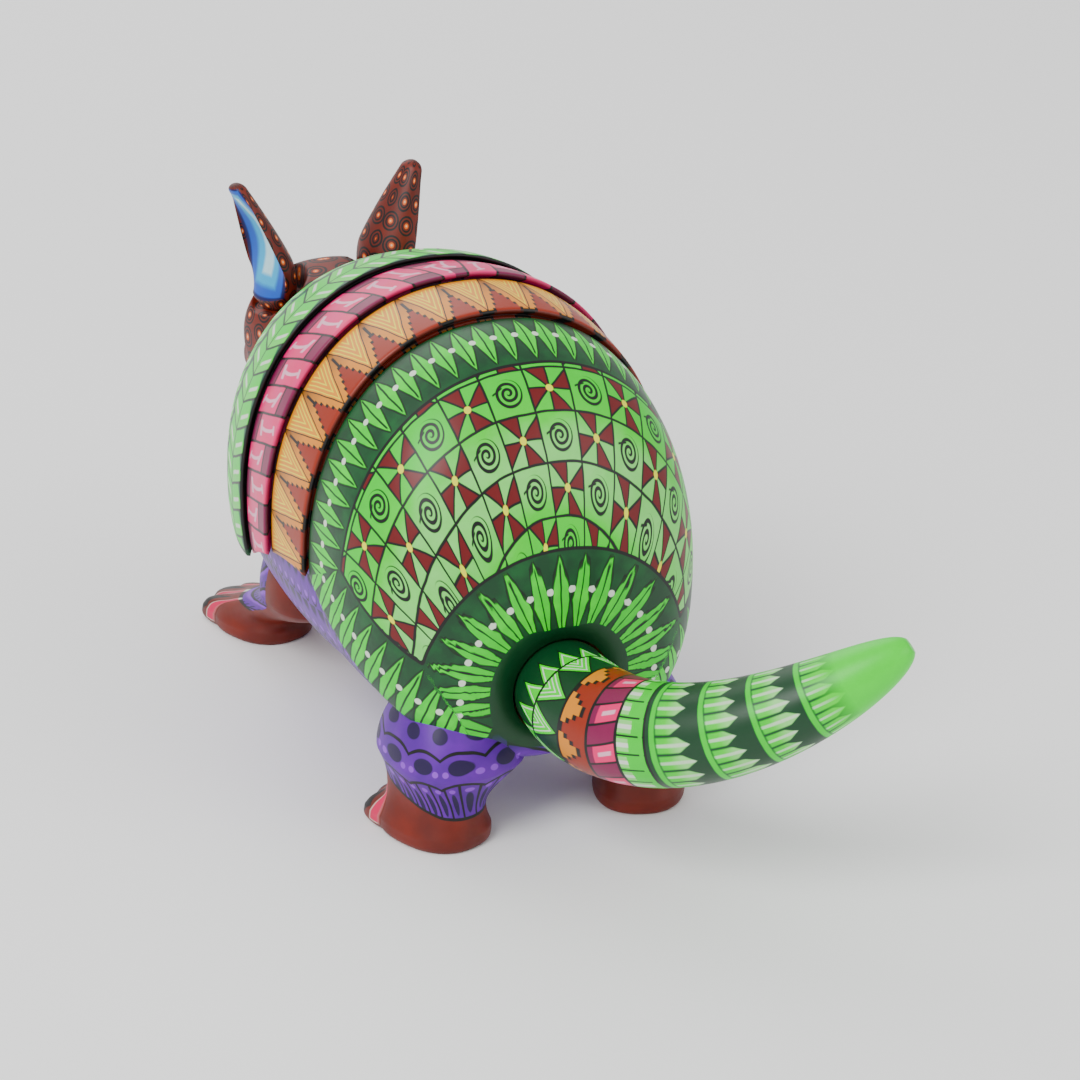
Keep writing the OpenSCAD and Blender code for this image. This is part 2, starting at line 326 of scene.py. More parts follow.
class Paint:
    """One painted finish: layers of colour over each other, then a satin surface."""

    def __init__(self, name):
        self.material = bpy.data.materials.new(name)
        self.material.use_nodes = True
        self.tree = self.material.node_tree
        self.tree.nodes.clear()

    def node(self, kind, settings=None, **sockets):
        """Any node: its settings first, then its inputs, by name or by number after an underscore."""
        made = self.tree.nodes.new(kind)
        for key, value in (settings or {}).items():
            setattr(made, key, value)
        for key, value in sockets.items():
            name = int(key[1:]) if key[0] == "_" else key.replace("_", " ")
            self.feed(made.inputs[name], value)
        return made

    def feed(self, socket, value):
        if isinstance(value, Value):
            self.tree.links.new(value.socket, socket)
        elif isinstance(value, bpy.types.NodeSocket):
            self.tree.links.new(value, socket)
        else:
            socket.default_value = value

    def math(self, kind, *values, cap=False):
        made = self.node("ShaderNodeMath", {"operation": kind, "use_clamp": cap},
                         **{f"_{i}": v for i, v in enumerate(values)})
        return Value(self, made.outputs[0])

    def uv(self, name):
        """Both numbers of one of the piece's own UV maps."""
        made = self.node("ShaderNodeUVMap", {"uv_map": name})
        parts = self.node("ShaderNodeSeparateXYZ", _0=made.outputs[0])
        return Value(self, parts.outputs[0]), Value(self, parts.outputs[1])

    def place(self):
        return self.node("ShaderNodeTexCoord").outputs["Object"]

    def pair(self, x, y, z=0.0):
        return self.node("ShaderNodeCombineXYZ", _0=x, _1=y, _2=z).outputs[0]

    def noise(self, scale, detail=2.0, vector=None, rough=0.5):
        made = self.node("ShaderNodeTexNoise", {"noise_dimensions": "3D"}, Vector=vector or self.place(),
                         Scale=scale, Detail=detail, Roughness=rough)
        return Value(self, made.outputs["Fac"])

    def chance(self, x, y):
        """A steady random number for each whole cell."""
        made = self.node("ShaderNodeTexWhiteNoise", {"noise_dimensions": "3D"}, Vector=self.pair(x, y))
        return Value(self, made.outputs["Value"])

    def layer(self, under, over, mask):
        """One colour over another where the mask is 1."""
        made = self.node("ShaderNodeMix", {"data_type": "RGBA"},
                         _0=mask, _6=colour(under), _7=colour(over))
        return made.outputs[2]

    def finish(self, base, relief=None, rough=0.42, coat=0.12):
        """Satin acrylic over wood: brush marks, faint tool marks, a little dust and a thin varnish."""
        relief = relief or self.noise(420, 2)
        stroke = self.noise(900, 3, rough=0.65)
        tool = self.noise(55, 2)
        blotch = self.noise(140, 4, rough=0.6)
        deep = self.node("ShaderNodeGamma", _0=base, _1=1.18)
        tint = self.node("ShaderNodeHueSaturation", _1=1.2, _2=blotch * 0.16 + stroke * 0.10 + 0.66,
                         Color=deep.outputs[0])
        height = tool * 0.5 + stroke * 0.05 + relief * 0.06
        bump = self.node("ShaderNodeBump", Strength=0.35, Distance=0.0006, Height=height)
        shader = self.node(
            "ShaderNodeBsdfPrincipled", Base_Color=tint.outputs[0],
            Roughness=blotch * 0.16 + stroke * 0.12 + (rough - 0.13), Normal=bump.outputs[0])
        shader.inputs["Coat Weight"].default_value = coat
        shader.inputs["Coat Roughness"].default_value = 0.28
        shader.inputs["Specular IOR Level"].default_value = 0.34
        out = self.node("ShaderNodeOutputMaterial")
        self.tree.links.new(shader.outputs[0], out.inputs[0])
        return self.material


def colour(value):
    """An sRGB triple out of 255 as a linear colour; sockets pass through."""
    if not isinstance(value, tuple):
        return value
    lin = [(c / 255 / 12.92) if c / 255 <= 0.04045 else ((c / 255 + 0.055) / 1.055) ** 2.4 for c in value]
    return (*lin, 1.0)


LEAF = (40, 232, 40)
LEAF_LIGHT = (74, 246, 60)
PALE = (176, 242, 164)
DEEP = (0, 80, 42)
FOREST = (0, 108, 52)
SHADE = (8, 30, 18)
SOCKET_SHADE = (14, 22, 16)
CRIMSON = (128, 8, 18)
YELLOW = (255, 250, 0)
INK = (14, 14, 14)
WHITE = (238, 246, 232)
GOLD = (240, 158, 0)
GOLD_FILL = (248, 166, 0)
GOLD_SHADE = (150, 98, 0)
GOLD_LINE = (255, 244, 60)
BRICK = (170, 56, 18)
PINK = (255, 40, 130)
ROSE = (255, 84, 160)
MAGENTA = (150, 14, 92)
BLUSH = (255, 208, 224)
BAND_GREEN = (60, 240, 70)
TEAL = (26, 104, 76)
VIOLET = (112, 58, 170)
PLUM = (134, 76, 190)
LAVENDER = (180, 130, 232)
INDIGO = (46, 18, 84)
BROWN = (140, 44, 16)
RUST = (116, 34, 12)
EMBER = (255, 140, 80)
HEART = (255, 214, 190)
NOSTRIL = (60, 18, 12)
NAVY = (28, 28, 104)
BLUE = (0, 104, 212)
SKY = (96, 196, 240)
WATER = (214, 244, 252)
CLEFT = (232, 48, 106)
SOOT = (18, 16, 16)
WOOD_PALE = (222, 186, 134)
WOOD = (178, 132, 80)
WOOD_BORE = (150, 104, 62)
WOOD_KNOT = (140, 96, 56)


# ------------------------------------------------------------------ shell plates
def settle(t):
    """Spreads grid rows so that they lie closer together near both rims."""
    return mix(t, 0.5 - 0.5 * math.cos(math.pi * t), 0.7)


def roll(depth, radius):
    """How far a surface sinks this deep in from its rim, so that the rim is rounded over."""
    t = clamp(1 - depth / radius)
    return radius * (1 - math.sqrt(max(1 - t * t, 0)))


def arc_lengths(place, phis):
    """Running length along a hoop from the crown to each angle, on one side."""
    run, total, last = {}, 0.0, place(0)
    for phi in phis:
        point = place(phi)
        total += (point - last).length
        last = point
        run[phi] = total
    return run


class Edge:
    """A drawn edge in space: gives how far along it and how far from it a point is.
    The length along it is counted on a line set in from the edge, where the leaves are widest."""

    def __init__(self, points, inset):
        self.points = np.array([tuple(p) for p in points])
        run = np.gradient(self.points, axis=0)
        out = self.points - np.array([0, -20, SHELL_H * 0.5])
        inward = np.cross(run, out)
        inward /= np.linalg.norm(inward, axis=1)[:, None]
        line = self.points + inward * inset
        steps = np.linalg.norm(np.diff(line, axis=0), axis=1)
        self.along = np.concatenate([[0], np.cumsum(steps)])
        self.along -= self.along[-1] / 2

    def read(self, point):
        a, b = self.points[:-1], self.points[1:]
        d = b - a
        t = np.clip(((np.array(tuple(point)) - a) * d).sum(1) / np.maximum((d * d).sum(1), 1e-9), 0, 1)
        gap = np.linalg.norm(a + d * t[:, None] - np.array(tuple(point)), axis=1)
        i = int(gap.argmin())
        return self.along[i] + (self.along[i + 1] - self.along[i]) * t[i], gap[i]


def rump_front():
    return Edge([rump_point(0, phi, 0) for phi in np.linspace(-rump_edge(0), rump_edge(0), 161)], 0)


def rump_sides():
    rise = [1 - (1 - t) ** 1.6 for t in np.linspace(0, 1, 121)]
    left = [rump_point(a, -rump_edge(a), 0) for a in rise]
    notch = [rump_point(1, phi, 0) for phi in np.linspace(-rump_edge(1), rump_edge(1), 61)][1:-1]
    right = [rump_point(a, rump_edge(a), 0) for a in reversed(rise)]
    return Edge(left + notch + right, FRINGE * 0.5)


FRONT = rump_front()
SIDES = rump_sides()


def rump_shield():
    """The big rear plate: domed, with two lobes at the foot and a notch over the tail."""
    lip_start = 0.97
    girth = {}

    def spots(u, v):
        a = 1 - (1 - min(v / lip_start, 1)) ** 1.35
        return a, (2 * u - 1) * rump_edge(a)

    def flat(u, v):
        a, phi = spots(u, v)
        return rump_point(a, phi, 0)

    def place(u, v):
        a, phi = spots(u, v)
        if v > lip_start:
            lip = (v - lip_start) / 0.03
            point = rump_point(1, phi, 0)
            return point.lerp(Vector((0, RUMP_L - 0.4 * lip, TAIL_Z)), lip * 0.16) - Vector((0, 0.05, 0))
        rim = FRONT.read(flat(u, v))[1]
        return rump_point(a, phi, -roll(min(rim, rim_depth(rump_edge(a), phi)), 1.0))

    def cells(u, v):
        a, phi = spots(u, v)
        if v not in girth:
            angles = np.linspace(0, 90, 46)
            run = arc_lengths(lambda p: rump_point(a, p, 0), angles)
            girth[v] = (angles, [run[p] for p in angles])
        angles, run = girth[v]
        side = np.interp(min(abs(phi), 90), angles, run) + max(abs(phi) - 90, 0) * 0.5
        return math.copysign(side, phi) / run[-1] * 7, (FRONT.read(flat(u, v))[1] - FRINGE - 1.0) / 7.7

    def sides(u, v):
        along, away = SIDES.read(flat(u, v))
        return along, away - max(v - lip_start, 0) * 60

    def front(u, v):
        return FRONT.read(flat(u, v))

    plate = sheet(150, 130, place, {"cells": cells, "front": front, "sides": sides})
    obj = piece("rump_shield", plate, rump_paint(), "trunk", ["trunk"])
    return thicken(obj, WALL_RUMP)


def band_plate(name, start, stop, paint, rows, lift):
    """One raised band of the shell, from its front edge to its rear rim."""
    middle = (start + stop) / 2
    angles = list(np.linspace(0, 125, 126))
    run = arc_lengths(lambda p: band_point(middle, p, 0), angles)
    lengths = [run[p] for p in angles]

    def spots(u, v):
        q = mix(start, stop, settle(v))
        return q, (2 * settle(u) - 1) * band_edge(q)

    def place(u, v):
        q, phi = spots(u, v)
        near = min(rim_depth(band_edge(q), phi), (stop - q) * BAND_W * (1 if stop > -2 else 2))
        return band_point(q, phi, lift(settle(v)) - roll(near, 0.6))

    def lane(u, v):
        q, phi = spots(u, v)
        return math.copysign(np.interp(abs(phi), angles, lengths), phi), settle(v)

    def rim(u, v):
        q, phi = spots(u, v)
        return rim_depth(band_edge(q), phi), 0

    plate = sheet(170, rows, place, {"lane": lane, "rim": rim})
    obj = piece(name, plate, paint, "trunk", ["trunk"])
    return thicken(obj, WALL_BAND)


# ------------------------------------------------------------------ body under the shell
def body_core():
    """The body that shows below the shell, with the chest in front and the tail seat behind."""
    cup = ROOT_R + 0.4
    low = math.degrees(math.asin(PEG_BORE / cup))
    high = math.degrees(math.acos(1 / cup))
    stops = (0.12, 0.42, 0.80, 0.90, 1.0)

    def part(v, i):
        """How far v has run from one stop to the next."""
        return (v - stops[i - 1]) / (stops[i] - stops[i - 1])

    def place(u, v):
        phi = u * 360
        if v < stops[0]:
            return chest_point(v / stops[0] * 0.999, phi)
        if v < stops[1]:
            return band_point(-3 + part(v, 1) * 3, phi, -LIP)
        if v < stops[2]:
            a = part(v, 2)
            return rump_point(a, phi, -LIP * (1 - a * a))
        if v < stops[3]:
            turn = mix(high, low, part(v, 3))
            round_r = cup * sin(turn)
            return ROOT + Vector((round_r * sin(phi), -cup * cos(turn), round_r * cos(phi)))
        y = mix(-cup * cos(low), -19.5, part(v, 4))
        return ROOT + Vector((PEG_BORE * sin(phi), y, PEG_BORE * cos(phi)))

    def skirt(u, v):
        return SIDES.read(place(u, v))

    def cover(u, v):
        """How many degrees below the rim of the shell a spot is; what is covered is below 0."""
        phi = abs((u * 360 + 180) % 360 - 180)
        if v < stops[0] or v > stops[2]:
            return 20, v > stops[2] + 0.005
        if v < stops[1]:
            return phi - band_edge(-3 + part(v, 1) * 3), 0
        return phi - rump_edge(part(v, 2)), 0

    body = sheet(150, 190, place, {"skirt": skirt, "cover": cover}, wrap=True)
    return piece("body_core", body, body_paint(), "trunk", ["trunk"])


# ------------------------------------------------------------------ tail
def tail_at(s):
    return ROOT + Vector((-TAIL_SIDE * s ** 1.75, TAIL_BACK * (1.45 * s - 0.45 * s * s),
                          TAIL_RISE * (1.5 * s * s - 0.5 * s)))


def tail_rad(s):
    if s < 0.12:
        return mix(ROOT_R, TAIL_R, sin(90 * s / 0.12))
    return TAIL_R * max(1 - ((s - 0.12) / 0.88) ** 2, 0) ** 0.4


def tail():
    """The curved tail, with its round root and the hole for the peg."""
    low = math.degrees(math.asin(PEG_BORE / ROOT_R))
    run, total, last = [0.0], 0.0, tail_at(0)
    for i in range(1, 201):
        total += (tail_at(i / 200) - last).length
        last = tail_at(i / 200)
        run.append(total)

    def along(v):
        return clamp((v - 0.16) / 0.84) ** 0.9 * 0.996

    def place(u, v):
        turn = u * 360
        if v < 0.06:
            y = mix(11.5, -ROOT_R * cos(low), v / 0.06)
            return ROOT + Vector((PEG_BORE * cos(turn), y, -PEG_BORE * sin(turn)))
        if v < 0.16:
            lean = mix(low, 90, (v - 0.06) / 0.10)
            return ROOT + Vector((ROOT_R * sin(lean) * cos(turn), -ROOT_R * cos(lean),
                                  -ROOT_R * sin(lean) * sin(turn)))
        s = along(v)
        d = (tail_at(s + 0.004) - tail_at(max(s - 0.004, 0))).normalized()
        a = d.cross(Vector((0, 0, 1))).normalized()
        b = a.cross(d)
        return tail_at(s) + (a * cos(turn) - b * sin(turn)) * max(tail_rad(s), 0.4)

    def wrap_map(u, v):
        if v < 0.16:
            return u, (v - 0.16) * 120
        return u, np.interp(along(v), np.linspace(0, 1, 201), run)

    skin = sheet(96, 220, place, {"ring": wrap_map}, wrap=True)
    return piece("tail_painted", skin, tail_paint(), "tail", ["tail"])


# ------------------------------------------------------------------ head and ears
def head_y(s):
    return NECK_Y - 0.05 - HEAD_L * s


def head_z(s):
    return NECK_Z + 2.5 * sin(180 * clamp(s * 1.6)) - 15 * ease((s - 0.25) / 0.75)


def head_half(s):
    if s < 0.32:
        return mix(12.5, HEAD_W / 2, ease(s / 0.32))
    return mix(HEAD_W / 2, 5.2, sin(90 * clamp((s - 0.32) / 0.64)) ** 1.25)


def head_tall(s):
    if s < 0.32:
        return mix(12.5, 13, ease(s / 0.32))
    return mix(13, 5, sin(90 * clamp((s - 0.32) / 0.64)) ** 1.15)


def nose(s):
    return 1 if s < 0.93 else math.sqrt(max(1 - ((s - 0.93) / 0.075) ** 2, 0.02))


def ear_base(side):
    return Vector((side * HEAD_W * 0.31, head_y(EAR_S), head_z(EAR_S) + 6.5))


def ear_dir(side):
    return Vector((side * 0.33, 0, 1)).normalized()


def ear_face(side):
    d = ear_dir(side)
    angle = (-7 if side > 0 else 187) + EAR_SWIVEL
    return d.cross(Vector((cos(angle), sin(angle), 0))).cross(d).normalized()


def ear_pit(point):
    """Sinks a flat seat and a peg hole into the head under each ear."""
    for side in (-1, 1):
        d = ear_dir(side)
        reach = point - ear_base(side)
        height = reach.dot(d)
        away = (reach - d * height).length
        if height > -3 and away < 7:
            wall = (away - 5.0) * 2.2 if away > 5.0 else 0
            floor = -8.5 if away < 2.1 else wall
            if height > floor:
                point = point + d * (floor - height)
    return point


def head():
    """Neck, skull and snout in one, with swellings for the eyes."""
    def place(u, s):
        turn = u * 360
        eye = 0.0
        x = -head_half(s) * nose(s) * spow(sin(turn), 0.9)
        z = head_tall(s) * nose(s) * spow(cos(turn), 0.9)
        for side in (-90, 90):
            off = (turn + 180 - side) % 360 - 180 + 28 * side / 90
            gap = math.hypot((s - 0.55) * HEAD_L / 3.4, off / 15)
            eye = max(eye, 0.9 * (1 - ease(gap)) - 0.35 * ease(1 - abs(gap - 1.15) * 4))
        size = 1 - 0.03 * eye
        return ear_pit(Vector((x * size, head_y(s), head_z(s) + z * size)))

    def face(u, v):
        return v * HEAD_L, u * 360

    skin = sheet(180, 210, place, {"face": face}, wrap=True)
    return piece("head_carved", skin, head_paint(), "trunk", ["head"])


def ear_radius(t):
    if t < 0.3:
        return mix(EAR_FOOT - 0.4, EAR_W / 2, sin(90 * t / 0.3))
    return mix(EAR_W / 2, 1.9, ((t - 0.3) / 0.7) ** 1.25)


def ear(side, name, node, paint):
    """A thin dished ear on its turned peg."""
    d, f = ear_dir(side), ear_face(side)
    w = d.cross(f)

    def place(u, v):
        if v < 0.16:
            turn = u * 360
            deep = mix(-8, 0.35, v / 0.16)
            return ear_base(side) + d * deep + (w * -sin(turn) - f * cos(turn)) * 2
        t = (v - 0.16) / 0.84
        tip = clamp((t - 0.94) / 0.062)
        r = ear_radius(t) * math.sqrt(max(1 - tip * tip, 0.0004))
        g = -cos(u * 360) * r
        cup = sin(180 * (t - 0.1) / 0.88) ** 0.75 if 0.1 < t < 0.98 else 0
        dish = 1.15 * cup * max(g, 0)
        return ear_base(side) + d * (0.3 + EAR_L * t) - w * sin(u * 360) * r + f * (g * 0.72 - dish)

    def inside(u, v):
        across = sin(u * 360)
        if cos(u * 360) > 0:
            across = math.copysign(2 - abs(across), across)
        return across, clamp((v - 0.16) / 0.84)

    def around(u, v):
        return (u - 0.5) * 36, (v - 0.16) / 0.84 * EAR_L

    skin = sheet(96, 110, place, {"inside": inside, "around": around}, wrap=True)
    return piece(name, skin, paint, node, [node])


# ------------------------------------------------------------------ legs
FRONT_SEAT = SHELL_H * 0.33
HIND_SEAT = SHELL_H * 0.24


def front_leg(side):
    """Middle and half size of the top outline, then of the sole."""
    return ((side * SHELL_W * 0.235, RIM_Y + 11), (8.5, 10), (side * SHELL_W * 0.28, RIM_Y - 8),
            (FOOT_W / 2, FOOT_L * 0.4))


def hind_leg(side):
    """Middle and half size of the top outline, then of the sole."""
    return ((side * SHELL_W * 0.25, RUMP_L * 0.6), (9.5, 12), (side * SHELL_W * 0.28, RUMP_L * 0.66),
            (FOOT_W / 2, FOOT_L * 0.42))


def leg_point(shape, z, up, grow, turn):
    """A point on the leg's outline, up = 0 at the sole and 1 at the top, with three toes in front."""
    cx, cy = mix(shape[2][0], shape[0][0], up), mix(shape[2][1], shape[0][1], up)
    hx, hy = mix(shape[3][0], shape[1][0], up), mix(shape[3][1], shape[1][1], up)
    toe = 3.2 * (1 - ease(up * 2.2 + z / 12))
    t = (turn - 270) / 54
    lobe = toe * (0.25 + abs(cos(270 * t)) ** 0.7) if abs(t) < 1 else 0
    x = (hx + grow) * spow(cos(turn), 0.84)
    y = (hy + grow) * spow(sin(turn), 0.84) - lobe
    out = math.copysign(TOE_OUT, shape[0][0]) * (1 - up)
    return Vector((cx + x * cos(out) - y * sin(out), cy + x * sin(out) + y * cos(out), z))


def leg(name, shape, seat, paint, flare):
    """A paw and leg; its top tucks in under the body."""
    middle = Vector((*shape[0], 0))
    outer = math.copysign(1, middle.x)
    top = seat * 0.55

    def haunch(point):
        """Widens the top of the leg inward and to the rear, so that it runs smoothly into the body."""
        swell = flare * ease((point.z - 6) / 9)
        inward = 2.4 if (point.x - middle.x) * outer < 0 else 0.3
        tuck = 1 - 0.45 * clamp((point.z - top) / (seat - top)) ** 1.8
        return Vector((mix(middle.x, point.x, (1 + swell * inward) * tuck),
                       mix(middle.y, point.y, (1 + swell * 0.5) * tuck), point.z))

    def bare(u, v):
        turn = u * 360
        if v < 0.12:
            t = v / 0.12
            return leg_point(shape, 0, 0, -0.9, turn) * t + Vector((*shape[2], 0)) * (1 - t)
        if v < 0.22:
            t = (v - 0.12) / 0.10
            return leg_point(shape, 1.2 * t * t, 0, -0.9 * (1 - t) ** 1.5, turn)
        if v < 0.8:
            t = (v - 0.22) / 0.58
            z = mix(1.2, 14, t)
            k = clamp((z - 2.5) / 11.5)
            return leg_point(shape, z, ease(k * 7 / 6.5 - 0.077), -1.4 * sin(180 * k), turn)
        return leg_point(shape, mix(14, seat - 0.1, (v - 0.8) / 0.2), 1, 0, turn)

    def place(u, v):
        return haunch(bare(u, v))

    def wrap_map(u, v):
        spot = place(u, v)
        return (u * 360 - 270) / 54, spot.z

    skin = sheet(144, 90, place, {"wrap": wrap_map}, wrap=True)
    return piece(name + "_carved", skin, paint, "trunk", [name])


# ------------------------------------------------------------------ painted patterns
def bar(x, half, soft=0.1):
    """A line this wide on each side of x = 0."""
    return x.abs().under(half, soft)


def tri(x):
    """Distance to the nearest whole number."""
    return (x - (x + 0.5).floor()).abs()


def wobble(p, amount, scale=220):
    """A hand's unsteadiness, in the map's own units."""
    return (p.noise(scale, 2) - 0.5) * amount


def reach_of(x, y):
    """How far a spot is from the middle of a dot."""
    return (x * x + y * y).root()


def brown_ground(p, scale):
    return p.layer(BROWN, RUST, p.noise(scale, 3).over(0.5, 0.3))


def violet_ground(p):
    return p.layer(VIOLET, PLUM, p.noise(180, 3).over(0.5, 0.3))


def leaf_fringe(p, s, d, base, root):
    """A border of pointed leaves with white dots between them and a black line down each."""
    step = s / 3.8
    across = tri(step)
    reach = (d - root) / (12.8 - root)
    belly = (1 - (reach * 2 - 1).abs()).max(0).pow(0.78)
    width = belly * 0.46
    leaf = (width - across).over(0, 0.06) * reach.over(0, 0.03) * reach.under(1, 0.03)
    tone = p.layer(LEAF, LEAF_LIGHT, p.noise(300, 2).over(0.55, 0.2))
    base = p.layer(base, tone, leaf)
    outline = (width - across).abs().under(0.045, 0.03) * reach.over(0, 0.03) * reach.under(1, 0.03)
    base = p.layer(base, INK, outline * 0.9)
    vein = across.under(0.042, 0.03) * reach.over(0.06, 0.05) * reach.under(0.9, 0.05)
    base = p.layer(base, INK, vein)
    gap = tri(step + 0.5) * 3.8
    return p.layer(base, WHITE, reach_of(gap, d - 6.6).under(0.62, 0.1))


def pinwheels(p, u, v):
    """A chequer of light squares with drawn spirals and red pinwheels with yellow hearts."""
    i, j = u.floor(), v.floor()
    x, y = u - i - 0.5, v - j - 0.5
    odd = ((i + j) * 0.5).fract().over(0.25, 0.01)
    glow = v.over(1.0, 1.2) * v.under(3.0, 1.2)
    ground = p.layer(LEAF, PALE, glow * 0.8 + p.noise(200, 3) * 0.5 - 0.2)
    turn = p.math("ARCTAN2", y, x) / math.tau
    away = reach_of(x, y)
    sector = (turn * 4 + 0.04).fract()
    blade = sector.under(0.5, 0.03)
    wheel = p.layer(ground, CRIMSON, blade)
    spokes = tri(turn * 8 + 0.08) * away * 0.785
    wheel = p.layer(wheel, INK, spokes.under(0.022, 0.014) * away.over(0.07, 0.02))
    wheel = p.layer(wheel, YELLOW, away.under(0.085, 0.02))
    curl = tri(away * 7.6 - turn)
    spiral = curl.under(0.26, 0.1) * away.under(0.33, 0.02) * away.over(0.03, 0.02)
    tail_line = (y + 0.2 - x * 0.4).abs().under(0.022, 0.02) * x.over(0.1, 0.03) * x.under(0.36, 0.03)
    curls = p.layer(ground, INK, spiral.max(tail_line))
    base = p.layer(curls, wheel, odd)
    grid = tri(u).min(tri(v))
    return p.layer(base, INK, grid.under(0.027, 0.016))


def rump_paint():
    p = Paint("rump_patterns")
    u, v = p.uv("cells")
    sf, df = p.uv("front")
    ss, ds = p.uv("sides")
    shake = wobble(p, 0.5)
    near = df.min(ds) + shake * 0.4
    base = pinwheels(p, u + wobble(p, 0.07, 160), v + wobble(p, 0.07, 190))
    ground = p.layer(DEEP, FOREST, p.noise(260, 3).over(0.55, 0.3))
    front = leaf_fringe(p, sf + shake, df, ground, 1.4)
    sides = leaf_fringe(p, ss + shake, ds, ground, -3.4)
    border = p.layer(front, sides, (ds - df).under(0, 0.15))
    base = p.layer(base, border, near.under(FRINGE, 0.12))
    base = p.layer(base, INK, bar(near - FRINGE, 0.28))
    # Painted shade: a dark strip along the shield's front edge, under the gold band's rim.
    base = p.layer(base, INK, df.under(0.55, 0.3) * 0.8)
    return p.finish(base)


def gold_paint():
    p = Paint("gold_band_patterns")
    s, t = p.uv("lane")
    shake = wobble(p, 0.35)
    step = (s + shake) / 7.4
    x = tri(step) * 2
    # Painted shade: the gold ground is darker over the band's front half, under the pink band's raised
    # rim.
    ground = p.layer(GOLD_SHADE, GOLD, t.over(0.3, 0.5))
    ground = p.layer(ground, GOLD_FILL, p.noise(160, 3).over(0.55, 0.3) * 0.4)
    depth = (1 - t) - x
    big = depth.over(0.02, 0.03)
    base = p.layer(ground, GOLD_FILL, big)
    nest = tri((depth - 0.14) / 0.2)
    strokes = nest.under(0.15, 0.1) * depth.over(0.12, 0.03) * t.over(0.10, 0.03)
    base = p.layer(base, GOLD_LINE, strokes)
    base = p.layer(base, INK, (depth - 0.02).abs().under(0.028, 0.02))
    away = 1 - x
    stair = ((away + wobble(p, 0.04)) * 7).floor() / 7
    hill = (1 - t) - (0.54 - stair * 0.88).max(0)
    base = p.layer(base, BRICK, hill.under(0, 0.02) * depth.under(0, 0.02))
    base = p.layer(base, INK, hill.abs().under(0.03, 0.02) * depth.under(0, 0.02))
    spike = away.under(0.07, 0.03) * (t - 0.32).abs().under(0.13, 0.05)
    base = p.layer(base, INK, spike)
    base = p.layer(base, INK, t.under(0.035, 0.03).max(t.over(0.985, 0.012) * 0.6))
    return p.finish(base)


def pink_paint():
    p = Paint("pink_band_patterns")
    s, t = p.uv("lane")
    shake = wobble(p, 0.35)
    step = (s + shake + t * 3.2 * p.math("SIGN", s)) / 5.3
    column = step.floor()
    x = step - column - 0.5
    flip = (column * 0.5).fract().over(0.25, 0.01)
    tt = t * (1 - flip) + (1 - t) * flip
    base = p.layer(PINK, ROSE, p.noise(250, 2).over(0.5, 0.3) * 0.6)
    base = p.layer(base, MAGENTA, tt.under(0.26, 0.03))
    knob = (tt - 0.40 - x * 0.2).abs().under(0.045, 0.03) * x.abs().under(0.27, 0.05)
    foot = (tt - 0.86 - x * 0.2).abs().under(0.03, 0.03) * x.abs().under(0.16, 0.05)
    sway = (x + p.math("SINE", tt * 7.5) * 0.07).abs()
    wavy = sway.under(0.065, 0.04) * tt.over(0.40, 0.03) * tt.under(0.88, 0.03)
    wavy = wavy.max(foot)
    base = p.layer(base, BLUSH, knob.max(wavy))
    base = p.layer(base, INK, (tt - 0.26).abs().under(0.022, 0.02))
    base = p.layer(base, INK, tri(step).under(0.045, 0.03))
    base = p.layer(base, INK, t.under(0.035, 0.03).max(t.over(0.985, 0.012) * 0.6))
    return p.finish(base)


def rope(p, s, t, base):
    """Slanted leaves laid like a rope, with a white stroke on each and dark wedges at the foot."""
    step = s / 4.6
    slant = step + (t - 0.5).abs() * 1.1
    cell = slant.floor()
    x = slant - cell - 0.5
    y = (t - 0.5).abs() * 2
    base = p.layer(base, PALE, x.over(0.05, 0.5) * 0.6)
    white = (x - 0.1).abs().under(0.075, 0.05) * y.over(0.18, 0.08) * y.under(0.78, 0.08)
    base = p.layer(base, WHITE, white)
    wedge = (y - 0.72 - (x + 0.5) * 0.3).over(0, 0.03) * x.under(0.1, 0.1)
    base = p.layer(base, TEAL, wedge)
    lines = tri(slant).under(0.05, 0.03).max((t - 0.5).abs().under(0.015, 0.015))
    return p.layer(base, INK, lines)


def shoulder_paint():
    p = Paint("shoulder_patterns")
    s, t = p.uv("lane")
    rim, _ = p.uv("rim")
    shake = wobble(p, 0.4)
    lane = t * 3
    base = rope(p, s + shake + lane.floor() * 2.1, lane.fract(), BAND_GREEN)
    base = p.layer(base, INK, tri(lane).under(0.03, 0.02))
    base = p.layer(base, INK, t.over(0.985, 0.01))
    base = p.layer(base, DEEP, rim.under(1.4, 0.2))
    return p.finish(base)


def scales(p, x, y, base, tip, line_width=0.045):
    """Overlapping U shapes hanging down, each with a pale dot near its tip."""
    row = y.floor()
    fy = y - row
    sx = x + (row * 0.5).fract()
    fx = tri(sx) * 2
    cup = 1 - (1 - fx * fx).max(0).root()
    rise = fy - 0.06 - cup * 0.7
    base = p.layer(base, INDIGO, (rise - 0.6).over(0, 0.2) * fx.under(0.7, 0.3))
    base = p.layer(base, PLUM, rise.over(0.02, 0.1) * rise.under(0.35, 0.3))
    base = p.layer(base, INK, (rise.abs() + fx * 0.02).under(line_width, 0.03))
    dot = (fx * fx * 0.9 + (fy - 0.26) * (fy - 0.26) * 16).root()
    return p.layer(base, tip, dot.under(0.38, 0.1))


